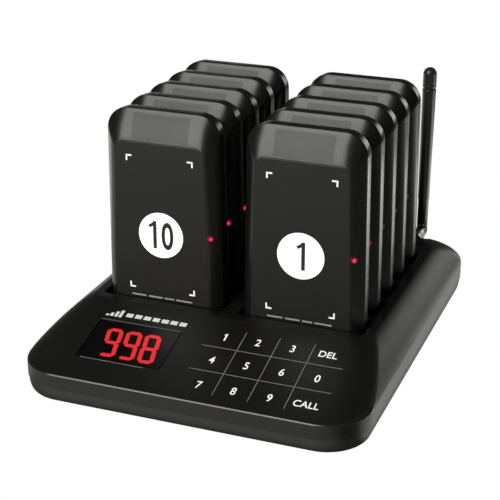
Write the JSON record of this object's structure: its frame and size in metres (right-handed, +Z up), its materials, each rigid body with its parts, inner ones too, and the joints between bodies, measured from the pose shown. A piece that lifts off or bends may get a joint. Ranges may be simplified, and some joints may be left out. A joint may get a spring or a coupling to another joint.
{
  "type": "guest paging set",
  "caption": "Restaurant paging set: upright numbered pagers lift out of a charging base with a sloped touch keypad, LED display and a folding antenna.",
  "frame": {"origin": "bottom centre of the whole set, on the surface that it stands on", "axes": "+Z up, +Y from the keypad towards the antenna, +X to the right of a person at the keypad"},
  "size_m": [0.152, 0.19, 0.1127],
  "materials": {
    "housing_plastic": "satin black moulded plastic with fine spark texture",
    "tray_plastic": "matte black moulded plastic",
    "pager_plastic": "black plastic, polished shoulders and a matte front panel",
    "display_lens": "dark smoked acrylic, polished",
    "display_module": "dark display module with red segments",
    "circuit_board": "green solder mask",
    "flat_cable": "grey ribbon",
    "lead_sheath": "brown coaxial sheath",
    "socket_plastic": "black moulded nylon",
    "knob_plastic": "black moulded plastic",
    "antenna_plastic": "black rubbery antenna sleeve, satin",
    "foot_rubber": "soft black rubber",
    "nickel": "nickel plated brass",
    "steel": "zinc plated steel",
    "battery_wrap": "grey foil pouch"
  },
  "bodies": {
    "base": {"lower_housing": "tray_plastic", "upper_housing": "housing_plastic", "display_window": "display_lens", "led_display": "display_module", "touch_board": "circuit_board", "main_board": "circuit_board", "charging_board_left": "circuit_board", "charging_board_right": "circuit_board", "ribbon_cable": "flat_cable", "antenna_lead": "lead_sheath", "dc_jack": "socket_plastic", "power_switch_body": "socket_plastic", "antenna_socket": "nickel", "foot_1": "foot_rubber", "foot_2": "foot_rubber", "foot_3": "foot_rubber", "foot_4": "foot_rubber", "housing_screw_1": "steel", "housing_screw_2": "steel", "housing_screw_3": "steel", "housing_screw_4": "steel"},
    "power_switch": {"power_switch_knob": "knob_plastic"},
    "antenna_swivel": {"antenna_connector_nut": "nickel", "antenna_knuckle": "antenna_plastic", "antenna_hinge_pin": "steel"},
    "antenna_whip": {"antenna_whip": "antenna_plastic", "antenna_tip_cap": "antenna_plastic"},
    "pager_01": {"pager_01_front_shell": "pager_plastic", "pager_01_rear_shell": "pager_plastic", "pager_01_circuit": "circuit_board", "pager_01_battery": "battery_wrap", "pager_01_vibration_motor": "steel", "pager_01_buzzer": "socket_plastic"},
    "pager_02": {"pager_02_front_shell": "pager_plastic", "pager_02_rear_shell": "pager_plastic", "pager_02_circuit": "circuit_board"},
    "pager_03": {"pager_03_front_shell": "pager_plastic", "pager_03_rear_shell": "pager_plastic", "pager_03_circuit": "circuit_board"},
    "pager_04": {"pager_04_front_shell": "pager_plastic", "pager_04_rear_shell": "pager_plastic", "pager_04_circuit": "circuit_board"},
    "pager_05": {"pager_05_front_shell": "pager_plastic", "pager_05_rear_shell": "pager_plastic", "pager_05_circuit": "circuit_board"},
    "pager_06": {"pager_06_front_shell": "pager_plastic", "pager_06_rear_shell": "pager_plastic", "pager_06_circuit": "circuit_board"},
    "pager_07": {"pager_07_front_shell": "pager_plastic", "pager_07_rear_shell": "pager_plastic", "pager_07_circuit": "circuit_board"},
    "pager_08": {"pager_08_front_shell": "pager_plastic", "pager_08_rear_shell": "pager_plastic", "pager_08_circuit": "circuit_board"},
    "pager_09": {"pager_09_front_shell": "pager_plastic", "pager_09_rear_shell": "pager_plastic", "pager_09_circuit": "circuit_board"},
    "pager_10": {"pager_10_front_shell": "pager_plastic", "pager_10_rear_shell": "pager_plastic", "pager_10_circuit": "circuit_board"}
  },
  "joints": [
    {"name": "power_switch_slide", "type": "slide", "parent": "base", "child": "power_switch", "axis": [1, 0, 0], "range_m": [0, 0.003]},
    {"name": "antenna_turn", "type": "hinge", "parent": "base", "child": "antenna_swivel", "pos_m": [0.0522, 0.0831, 0.025], "axis": [0, 1, 0], "range_deg": [-90, 90]},
    {"name": "antenna_fold", "type": "hinge", "parent": "antenna_swivel", "child": "antenna_whip", "pos_m": [0.0522, 0.0917, 0.025], "axis": [-1, 0, 0], "range_deg": [0, 90]},
    {"name": "pager_01_lift", "type": "slide", "parent": "base", "child": "pager_01", "axis": [0, 0, 1], "range_m": [0, 0.05]},
    {"name": "pager_02_lift", "type": "slide", "parent": "base", "child": "pager_02", "axis": [0, 0, 1], "range_m": [0, 0.05]},
    {"name": "pager_03_lift", "type": "slide", "parent": "base", "child": "pager_03", "axis": [0, 0, 1], "range_m": [0, 0.05]},
    {"name": "pager_04_lift", "type": "slide", "parent": "base", "child": "pager_04", "axis": [0, 0, 1], "range_m": [0, 0.05]},
    {"name": "pager_05_lift", "type": "slide", "parent": "base", "child": "pager_05", "axis": [0, 0, 1], "range_m": [0, 0.05]},
    {"name": "pager_06_lift", "type": "slide", "parent": "base", "child": "pager_06", "axis": [0, 0, 1], "range_m": [0, 0.05]},
    {"name": "pager_07_lift", "type": "slide", "parent": "base", "child": "pager_07", "axis": [0, 0, 1], "range_m": [0, 0.05]},
    {"name": "pager_08_lift", "type": "slide", "parent": "base", "child": "pager_08", "axis": [0, 0, 1], "range_m": [0, 0.05]},
    {"name": "pager_09_lift", "type": "slide", "parent": "base", "child": "pager_09", "axis": [0, 0, 1], "range_m": [0, 0.05]},
    {"name": "pager_10_lift", "type": "slide", "parent": "base", "child": "pager_10", "axis": [0, 0, 1], "range_m": [0, 0.05]}
  ]
}
